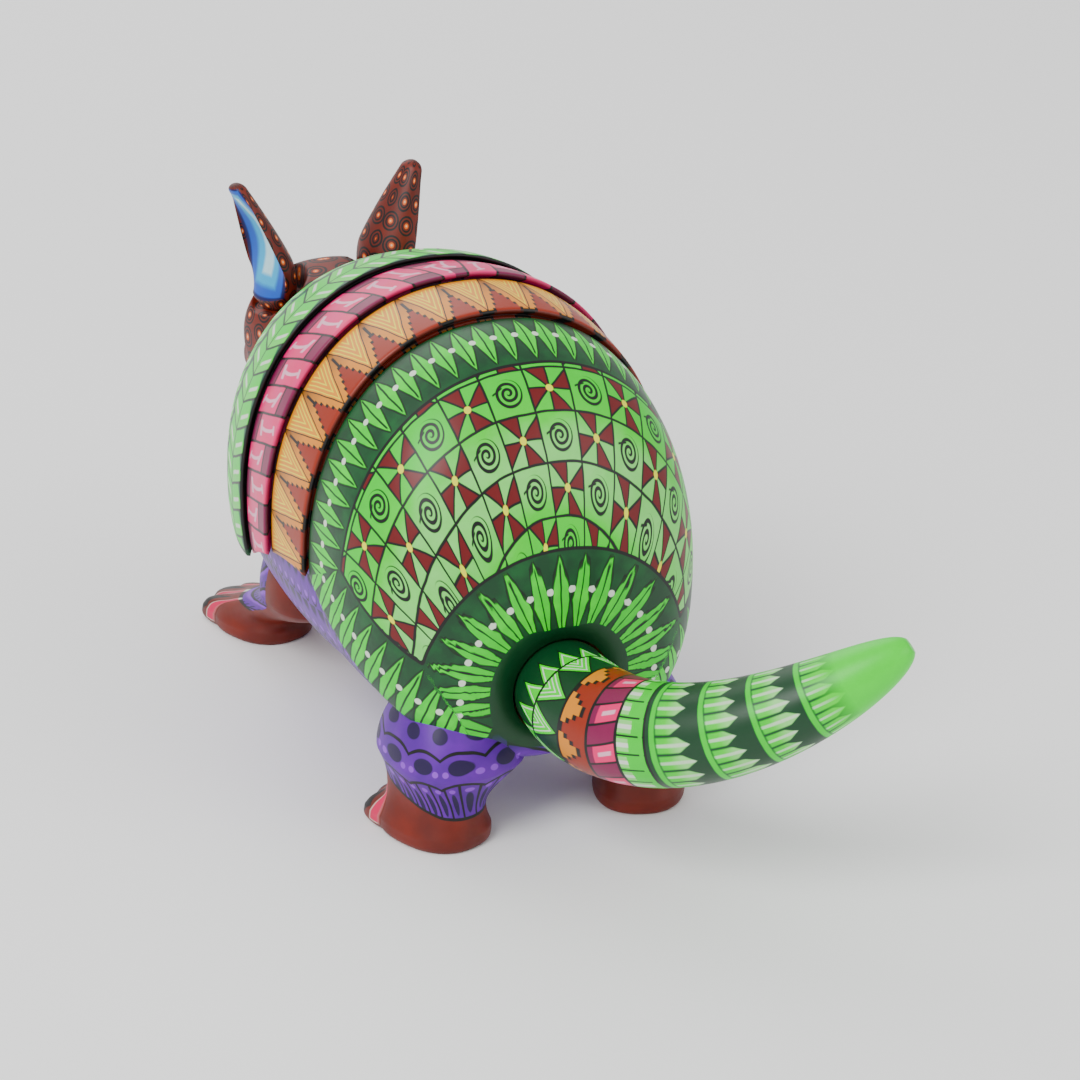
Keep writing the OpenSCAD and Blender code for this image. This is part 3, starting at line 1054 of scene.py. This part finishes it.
def skirt_lobes(p, base, s, d, shake):
    """The violet skirt behind: a row of lobes with ovals, then striped feathers under them."""
    x = tri((s + shake) / 6.2) * 2
    lobe = d + x * x * 1.8 - 5.2
    skirt = p.layer(base, INDIGO, reach_of(x * 3.4, d - 2.6).under(1.5, 0.2))
    skirt = p.layer(skirt, LAVENDER, reach_of(x * 3.1, d - 4.4).under(0.5, 0.1))
    skirt = p.layer(skirt, INK, bar(lobe, 0.35))
    stripe = (s + shake) / 2.4
    sx = tri(stripe)
    bead = (sx * sx * 5.8 + (d - 7.0) * (d - 7.0)).root()
    oval = (sx * sx * 12 + (d - 9.6) * (d - 9.6) * 0.25).root()
    below = p.layer(base, LAVENDER, bead.under(0.45, 0.1))
    below = p.layer(below, INDIGO, oval.under(0.62, 0.12))
    below = p.layer(below, INK, tri(stripe + 0.5).under(0.09, 0.05))
    return p.layer(skirt, below, lobe.over(0, 0.1))


def body_paint():
    """Violet scales and skirt, brown chest, painted shade under the shell, dark green painted shade round
    the tail and bare wood in its cup.
    """
    p = Paint("flank_patterns")
    s, d = p.uv("skirt")
    cover, cup = p.uv("cover")
    split = p.node("ShaderNodeSeparateXYZ", _0=p.place())
    y = Value(p, split.outputs[1]) * 1000
    z = Value(p, split.outputs[2]) * 1000
    shake = wobble(p, 0.6, 180)
    base = violet_ground(p)
    feathers = scales(p, (y + shake) / 2.9, (z + shake) / 6.4, base, LAVENDER)
    base = p.layer(feathers, skirt_lobes(p, base, s, d, shake), y.over(20, 1.0))
    base = p.layer(base, INK, d.under(0.8, 0.3) * y.over(-9, 1) * 0.7)
    base = p.layer(base, BROWN, y.under(-43, 0.5))
    # Painted shade: near-black green where the shell covers the body, fading in just under its rim.
    base = p.layer(base, SHADE, cover.under(-3, 2))
    # Painted shade: dark green on the ring round the tail's seat, in the gap between the tail and the
    # shell.
    base = p.layer(base, DEEP, y.over(48.6, 0.4) * z.over(15, 1.0))
    base = p.layer(base, WOOD_BORE, cup.over(0.5, 0.1))
    return p.finish(base)


def rings_of_dots(p, x, y, pitch, base):
    """Warm dots, each with a light heart, inside two drawn circles."""
    row = (y / pitch).floor()
    sx = x / pitch + (row * 0.5).fract()
    fx = (sx - sx.floor() - 0.5) * pitch
    fy = y - (row + 0.5) * pitch
    jitter = (p.chance(sx.floor(), row) - 0.5) * 0.7
    away = reach_of(fx + jitter, fy) + wobble(p, 0.35, 320)
    base = p.layer(base, EMBER, away.under(0.5, 0.12))
    base = p.layer(base, HEART, away.under(0.2, 0.1))
    base = p.layer(base, SOOT, bar(away - 1.0, 0.17))
    return p.layer(base, SOOT, bar(away - 1.65, 0.19))


def ear_paint():
    p = Paint("ear_patterns")
    wx, wt = p.uv("inside")
    ax, ay = p.uv("around")
    base = brown_ground(p, 160)
    base = rings_of_dots(p, ax, ay + 0.8, 4.1, base)
    ends = ((wt - 0.09) * 5.0).min((0.985 - wt) * 8.0)
    inside = (1 - wx.abs()).min(ends)
    base = p.layer(base, NAVY, inside.over(0.04, 0.04))
    base = p.layer(base, BLUE, inside.over(0.13, 0.05))
    base = p.layer(base, SKY, (inside + wobble(p, 0.1)).over(0.42, 0.16))
    base = p.layer(base, WATER, (inside + wobble(p, 0.1)).over(0.74, 0.14))
    base = p.layer(base, WOOD, ay.under(-0.4, 0.2))
    return p.finish(base, rough=0.5)


def painted_eye(p, along, side, base):
    """A white eye with a yellow rim, a black iris and a glint."""
    x = along - HEAD_L * 0.55
    y = (side - 118) * 0.17
    away = (x * x + y * y * 1.7).root()
    base = p.layer(base, BROWN, away.under(5.2, 0.2))
    base = p.layer(base, GOLD_LINE, away.under(3.6, 0.15))
    base = p.layer(base, WHITE, away.under(2.9, 0.12))
    base = p.layer(base, SOOT, away.under(1.9, 0.12))
    base = p.layer(base, WHITE, reach_of(x - 0.6, y - 0.5).under(0.42, 0.1))
    return p.layer(base, INK, bar(away - 3.6, 0.16))


def painted_mouth(p, along, side, base):
    line = side - 46 + along * 0.15
    base = p.layer(base, SOOT, bar(line, 1.6, 0.8) * along.over(36, 0.4))
    return p.layer(base, CLEFT, bar(line, 0.5, 0.4) * along.over(37, 0.4))


def painted_collar(p, along, turn, base):
    """A zigzag line between the skull and the snout."""
    crown = tri(turn / 20) * 2
    collar = along - 31.5 - crown * 1.6
    base = p.layer(base, EMBER, bar(collar, 0.45, 0.15))
    return p.layer(base, SOOT, bar(collar - 0.8, 0.2).max(bar(collar + 0.8, 0.2)))


def painted_snout(p, along, turn, side, base):
    """Rows of freckles, then a black nose with its nostrils."""
    dash = (turn / 15).fract() - 0.5
    rows = tri((along - 36) / 3.4) * 3.4
    freckle = (rows * rows + dash * dash * 9).root().under(0.36, 0.12) * along.over(35, 0.3)
    base = p.layer(base, EMBER, freckle * along.under(47, 0.3) * side.over(70, 2))
    base = p.layer(base, SOOT, along.over(48.6, 0.3))
    hole = reach_of(along - 50.6, (side - 140) * 0.09).under(0.8, 0.2)
    return p.layer(base, NOSTRIL, hole)


def head_paint():
    p = Paint("face_patterns")
    along, turn = p.uv("face")
    side = (turn - 180).abs()
    base = brown_ground(p, 160)
    ringed = rings_of_dots(p, turn * 0.24, along, 4.3, base)
    base = p.layer(base, ringed, along.under(32, 0.3))
    base = painted_eye(p, along, side, base)
    base = painted_mouth(p, along, side, base)
    base = painted_collar(p, along, turn, base)
    base = painted_snout(p, along, turn, side, base)
    return p.finish(base, rough=0.5)


def claws(p, t, z, base):
    """Black pointed claws on the toes, with pink and white clefts between them."""
    middle = tri(t * 1.5)
    claw = (0.5 - middle * 1.5 - (z - 3.2).abs() * 0.13).over(0.05, 0.05) * z.under(6.5, 0.3)
    gap = (middle - 0.5).abs()
    front = t.abs().under(1.0, 0.03)
    pale = gap.under(0.15, 0.03) * z.under(8.2, 0.3) * z.over(0.8, 0.2)
    cleft = gap.under(0.13, 0.04) * z.under(7.6, 0.3) * z.over(1.0, 0.3)
    base = p.layer(base, WHITE, pale * front)
    base = p.layer(base, CLEFT, cleft * front)
    return p.layer(base, SOOT, claw * front)


def shin_stripes(p, t, z, shake, violet):
    """Long ovals and beads between drawn stripes."""
    stripe = t * 3.6 + shake * 0.3
    x = tri(stripe) * 2.4
    oval = (x * x * 2.6 + (z - 9.0) * (z - 9.0) * 0.12).root()
    base = p.layer(violet, INDIGO, oval.under(0.8, 0.12))
    base = p.layer(base, LAVENDER, reach_of(x, z - 12.0).under(0.5, 0.1))
    return p.layer(base, INK, tri(stripe + 0.5).under(0.09, 0.05))


def haunch_lobes(p, t, z, wide, shake, violet):
    """Two rows of dark ovals and pale beads with a scalloped line between them."""
    near = (wide * wide * 0.5 + (z - 16.6) * (z - 16.6)).root()
    base = p.layer(violet, INDIGO, near.under(1.3, 0.15))
    base = p.layer(base, LAVENDER, reach_of(wide - 2.3, z - 15.6).under(0.55, 0.1))
    base = p.layer(base, INK, bar(z + shake * 2 - 19.0 + wide * wide * 0.12, 0.28))
    high = tri(t * 1.5 + 0.7) * 6.4
    crest = (high * high * 0.5 + (z - 21.4) * (z - 21.4)).root()
    return p.layer(base, INDIGO, crest.under(1.2, 0.15))


def hind_leg_paint():
    p = Paint("hind_leg_patterns")
    t, z = p.uv("wrap")
    shake = wobble(p, 0.3, 180)
    violet = violet_ground(p)
    wide = tri(t * 1.5 + 0.2) * 6.4
    wave = z + shake * 2 - 13.6 + wide * wide * 0.12
    upper = shin_stripes(p, t, z, shake, violet)
    upper = p.layer(upper, haunch_lobes(p, t, z, wide, shake, violet), wave.over(0, 0.1))
    upper = p.layer(upper, INK, bar(wave, 0.32))
    behind = p.math("SINE", (t * 54 + 270) * (math.pi / 180))
    line = z + shake * 2 - 9.0 + behind * 3.2
    base = p.layer(brown_ground(p, 150), upper, line.over(0, 0.1))
    base = p.layer(base, INK, bar(line, 0.28))
    return p.finish(claws(p, t, z, base), rough=0.5)


def front_leg_paint():
    p = Paint("front_leg_patterns")
    t, z = p.uv("wrap")
    shake = wobble(p, 0.3, 180)
    arch = (t * t * 42 + (z - 27) * (z - 27)).root() / 3.0 + shake
    upper = p.layer(violet_ground(p), LAVENDER, arch.fract().under(0.3, 0.15) * 0.8)
    upper = p.layer(upper, INK, tri(arch).under(0.09, 0.05))
    dash = (arch.fract() - 0.75).abs().under(0.12, 0.06) * tri(t * 6).under(0.2, 0.1)
    upper = p.layer(upper, INDIGO, dash)
    cuff = z - 8 - (t.abs() - 1.8).max(0) * 14 + shake
    base = p.layer(brown_ground(p, 150), upper, cuff.over(0, 0.15))
    base = p.layer(base, INK, bar(cuff, 0.28))
    return p.finish(claws(p, t, z, base), rough=0.5)


def zone(t, lo, hi, soft=0.15):
    return t.over(lo, soft) * t.under(hi, soft)


def seat_teeth(p, around, s):
    """Small triangles next to the tail's seat."""
    x = tri(around * 14) * 2
    saw = (s - 0.5) / 4.5 - x
    ring = p.layer(DEEP, LEAF_LIGHT, saw.over(0, 0.05))
    ring = p.layer(ring, WHITE, (saw - 0.3).abs().under(0.07, 0.05))
    return p.layer(ring, INK, saw.abs().under(0.05, 0.04))


def nested_chevrons(p, around, s):
    """White chevrons, one inside the other, on dark green."""
    nest = (10.6 - s) / 5.4 - tri(around * 9) * 2
    ring = p.layer(DEEP, LEAF_LIGHT, nest.over(0, 0.05))
    ring = p.layer(ring, WHITE, tri(nest * 4).under(0.17, 0.1) * nest.over(0.1, 0.04))
    return p.layer(ring, INK, nest.abs().under(0.05, 0.03))


def stepped_teeth(p, around, s):
    """Brick and gold saw teeth."""
    x = tri(around * 8 + 0.25) * 2
    tooth = (s - 11.2) / 4.6 - (x * 4).floor() / 4
    ring = p.layer(GOLD, BRICK, tooth.over(0, 0.05))
    return p.layer(ring, INK, tooth.abs().under(0.08, 0.05))


def pink_blocks(p, around, s):
    """Magenta and pink blocks in turn, the pink ones with a pale stroke."""
    lane = around * 16 + (s - 16) * 0.10
    cell = lane.floor()
    fx = lane - cell - 0.5
    odd = (cell * 0.5).fract().over(0.25, 0.01)
    ring = p.layer(PINK, MAGENTA, odd.max((s - 17.4).under(0, 0.2)))
    ring = p.layer(ring, BLUSH, fx.abs().under(0.12, 0.06) * zone(s, 18.2, 20.6, 0.4) * (1 - odd))
    return p.layer(ring, INK, tri(lane).under(0.06, 0.04))


def pale_blocks(p, around, s):
    """Pale blocks of uneven length, each with a white stroke."""
    lane = around * 18
    cell = lane.floor()
    fx = (lane - cell - 0.5).abs()
    within = (s - (p.chance(cell, 3.0) * 2.4 + 22.6)).under(0, 0.2)
    ring = p.layer(LEAF, PALE, within * fx.under(0.36, 0.06))
    ring = p.layer(ring, WHITE, within * fx.under(0.12, 0.05))
    return p.layer(ring, INK, tri(lane).under(0.05, 0.03))


def feather_rings(p, around, s):
    """Pale strokes on dark green between thick green rings, plain green toward the tip."""
    lane = around * 17 + wobble(p, 0.1, 90)
    cell = lane.floor()
    fx = (lane - cell - 0.5).abs()
    cycle = (s - 27) / 8.2
    part = cycle.fract()
    length = p.chance(cell, cycle.floor()) * 0.35 + 0.45
    end = part - length - 0.14 + fx * 0.5
    feather = fx.under(0.42, 0.1) * part.over(0.14, 0.04) * end.under(0, 0.05)
    base = p.layer(DEEP, p.layer(LEAF, PALE, part.over(0.35, 0.4)), feather)
    base = p.layer(base, WHITE, fx.under(0.1, 0.08) * feather * 0.7)
    base = p.layer(base, LEAF, (part - 0.06).abs().under(0.055, 0.03))
    return p.layer(base, LEAF_LIGHT, s.over(56, 5.0))


def tail_paint():
    """Rings of pattern from the seat to the tip, each by how many mm along the tail it is."""
    p = Paint("tail_patterns")
    u, s = p.uv("ring")
    shake = wobble(p, 0.5, 200)
    s = s + shake * 0.6
    around = u + shake * 0.004
    base = p.layer(LEAF, LEAF_LIGHT, p.noise(180, 3).over(0.5, 0.3))
    base = p.layer(base, seat_teeth(p, around, s), s.under(5, 0.15))
    base = p.layer(base, nested_chevrons(p, around, s), zone(s, 5, 10.8))
    base = p.layer(base, stepped_teeth(p, around, s), zone(s, 10.8, 16.2))
    base = p.layer(base, pink_blocks(p, around, s), zone(s, 16.2, 21.4))
    base = p.layer(base, pale_blocks(p, around, s), zone(s, 21.4, 26.2))
    base = p.layer(base, feather_rings(p, around, s), s.over(26.2, 0.15))
    for place, half in ((5, 0.22), (10.8, 0.22), (16.2, 0.25), (21.4, 0.25), (26.2, 0.2)):
        base = p.layer(base, INK, bar(s - place, half))
    base = p.layer(base, LEAF, bar(s - 25.6, 0.35))
    # Painted shade: the root that sits in the body's cup is near black.
    base = p.layer(base, SOCKET_SHADE, s.under(-2.2, 0.8))
    return p.finish(base)


def bare_wood():
    p = Paint("bare_copal_wood")
    split = p.node("ShaderNodeSeparateXYZ", _0=p.place())
    x, y, z = (Value(p, split.outputs[i]) for i in range(3))
    lines = p.noise(1.0, 5, vector=p.pair(x * 900, y * 60, z * 900), rough=0.6)
    base = p.layer(WOOD_PALE, WOOD, lines)
    base = p.layer(base, WOOD_KNOT, p.noise(500, 2).over(0.7, 0.1) * 0.4)
    return p.finish(base, relief=lines, rough=0.62, coat=0.0)


# ------------------------------------------------------------------ putting it together
def band_rise(t):
    """How far a band stands up, from its front edge to its rear rim."""
    return BAND_STEP * (0.1 + 0.9 * t)


def shoulder_rise(t):
    return BAND_STEP * (0.3 + 0.7 * t)


def shell():
    rump_shield()
    band_plate("gold_band", -1, 0, gold_paint(), 22, band_rise)
    band_plate("pink_band", -2, -1, pink_paint(), 22, band_rise)
    band_plate("shoulder_shield", -3, -2, shoulder_paint(), 40, shoulder_rise)


def ears():
    paint = ear_paint()
    ear(1, "ear_left_carved", "ear_left", paint)
    ear(-1, "ear_right_carved", "ear_right", paint)


def legs():
    front = front_leg_paint()
    hind = hind_leg_paint()
    hands = ((1, "left"), (-1, "right"))
    for side, hand in hands:
        leg("leg_front_" + hand, front_leg(side), FRONT_SEAT, front, 0.15)
    for side, hand in hands:
        leg("leg_hind_" + hand, hind_leg(side), HIND_SEAT + 5, hind, 0.2)


def pegs():
    """The tail peg and the glued dowels keep their turned shape and get bare wood."""
    wood = bare_wood()
    for name in ("tail_peg", "neck_dowel", "dowel_front_left", "dowel_front_right", "dowel_hind_left",
                 "dowel_hind_right"):
        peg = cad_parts[name].data
        peg.materials.clear()
        peg.materials.append(wood)


shell()
body_core()
head()
ears()
tail()
legs()
pegs()


# ------------------------------------------------------------------ floor, lights and camera
def floor():
    bm = bmesh.new()
    bmesh.ops.create_grid(bm, x_segments=1, y_segments=1, size=3)
    mesh = bpy.data.meshes.new("floor")
    bm.to_mesh(mesh)
    bm.free()
    obj = bpy.data.objects.new("floor", mesh)
    bpy.context.scene.collection.objects.link(obj)
    p = Paint("pale_floor")
    shader = p.node("ShaderNodeBsdfPrincipled", Base_Color=(0.93, 0.93, 0.93, 1), Roughness=0.7)
    p.tree.links.new(shader.outputs[0], p.node("ShaderNodeOutputMaterial").inputs[0])
    mesh.materials.append(p.material)
    obj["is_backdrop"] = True


def lamp(name, spot, size, watts):
    light = bpy.data.lights.new(name, "AREA")
    light.shape = "DISK"
    light.size = size
    light.energy = watts
    obj = bpy.data.objects.new(name, light)
    obj.location = spot
    obj.rotation_euler = (Vector((0, 0, 0.03)) - Vector(spot)).to_track_quat("-Z", "Y").to_euler()
    bpy.context.scene.collection.objects.link(obj)


def studio():
    floor()
    lamp("key", (0.75, 0.45, 0.9), 0.7, 12)
    lamp("fill", (-0.8, 0.9, 0.7), 1.0, 5)
    lamp("front", (0.1, -1.0, 0.8), 1.2, 7)
    world = bpy.data.worlds.new("studio")
    world.use_nodes = True
    world.node_tree.nodes["Background"].inputs["Color"].default_value = (1, 1, 1, 1)
    world.node_tree.nodes["Background"].inputs["Strength"].default_value = 0.8
    bpy.context.scene.world = world


def camera():
    data = bpy.data.cameras.new("camera")
    data.lens = 130
    data.sensor_width = 36
    data.shift_x = -0.0157
    data.shift_y = 0.1315
    data.clip_start = 0.01
    obj = bpy.data.objects.new("camera", data)
    around, up, away = 157, 26, 0.65
    back = Vector((sin(around) * cos(up), -cos(around) * cos(up), sin(up)))
    aim = Vector((2.80, 48.29, 28)) / 1000
    obj.location = aim + back * away
    obj.rotation_euler = back.to_track_quat("Z", "Y").to_euler()
    bpy.context.scene.collection.objects.link(obj)
    bpy.context.scene.camera = obj


studio()
camera()


def plain(value):
    if isinstance(value, dict):
        return {key: plain(item) for key, item in value.items()}
    if hasattr(value, "__len__") and not isinstance(value, str):
        return [plain(item) for item in value]
    return value if isinstance(value, str) else float(value)


{"cad": plain(cad_box), "visual": plain(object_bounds())}
